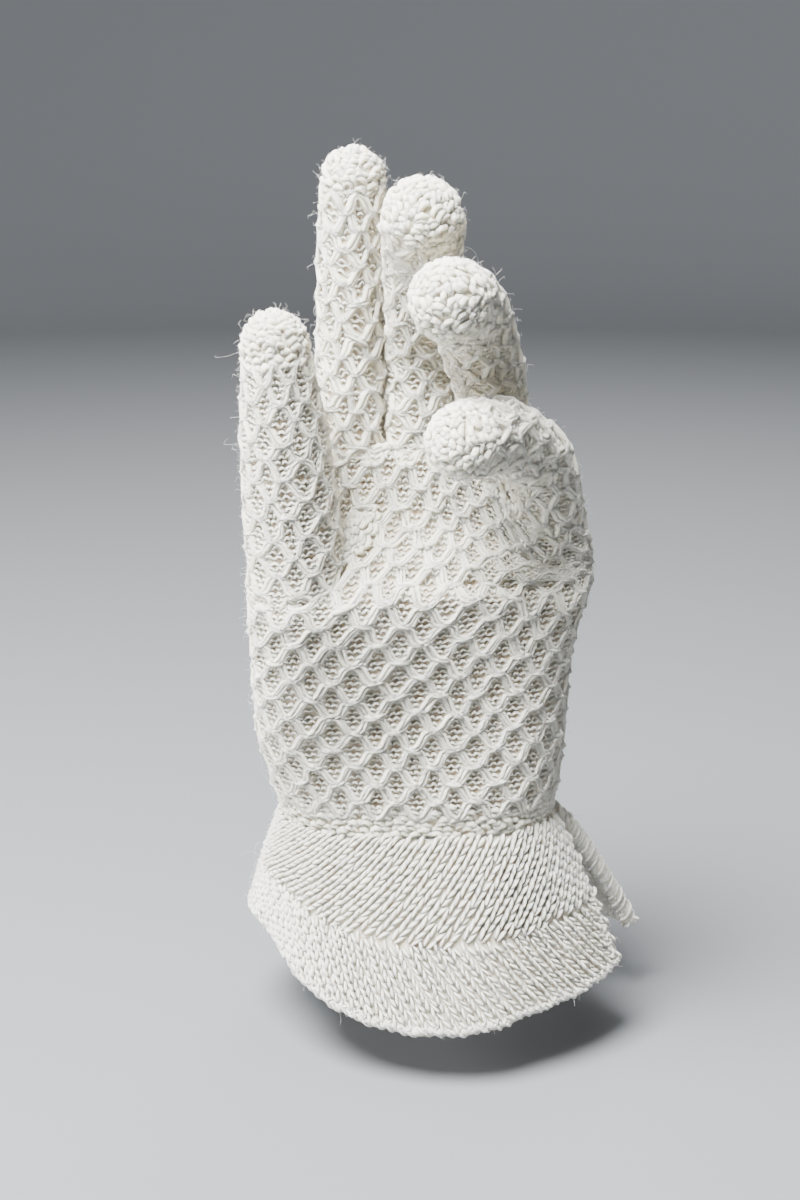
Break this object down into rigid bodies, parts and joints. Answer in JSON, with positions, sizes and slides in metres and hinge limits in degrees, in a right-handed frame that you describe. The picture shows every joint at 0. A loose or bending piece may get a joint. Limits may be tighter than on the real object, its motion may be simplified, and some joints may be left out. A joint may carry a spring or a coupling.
{
  "type": "angora glove",
  "caption": "Lady's white angora dress glove for the left hand, honeycomb knit with a flared slit cuff, shaped as worn on a half-open hand.",
  "frame": {"origin": "middle of the wrist, level with the seam between the hand and the cuff, where a hand holds the glove", "axes": "+Z towards the fingertips, -Y the way the palm faces, +X towards the little finger"},
  "size_m": [0.0937, 0.0848, 0.191],
  "materials": {
    "honeycomb_knit": "matte",
    "cuff_knit": "matte"
  },
  "bodies": {
    "root": {"hand": "honeycomb_knit", "thumb": "honeycomb_knit", "index_finger": "honeycomb_knit", "middle_finger": "honeycomb_knit", "ring_finger": "honeycomb_knit", "little_finger": "honeycomb_knit", "cuff": "cuff_knit"}
  },
  "joints": []
}
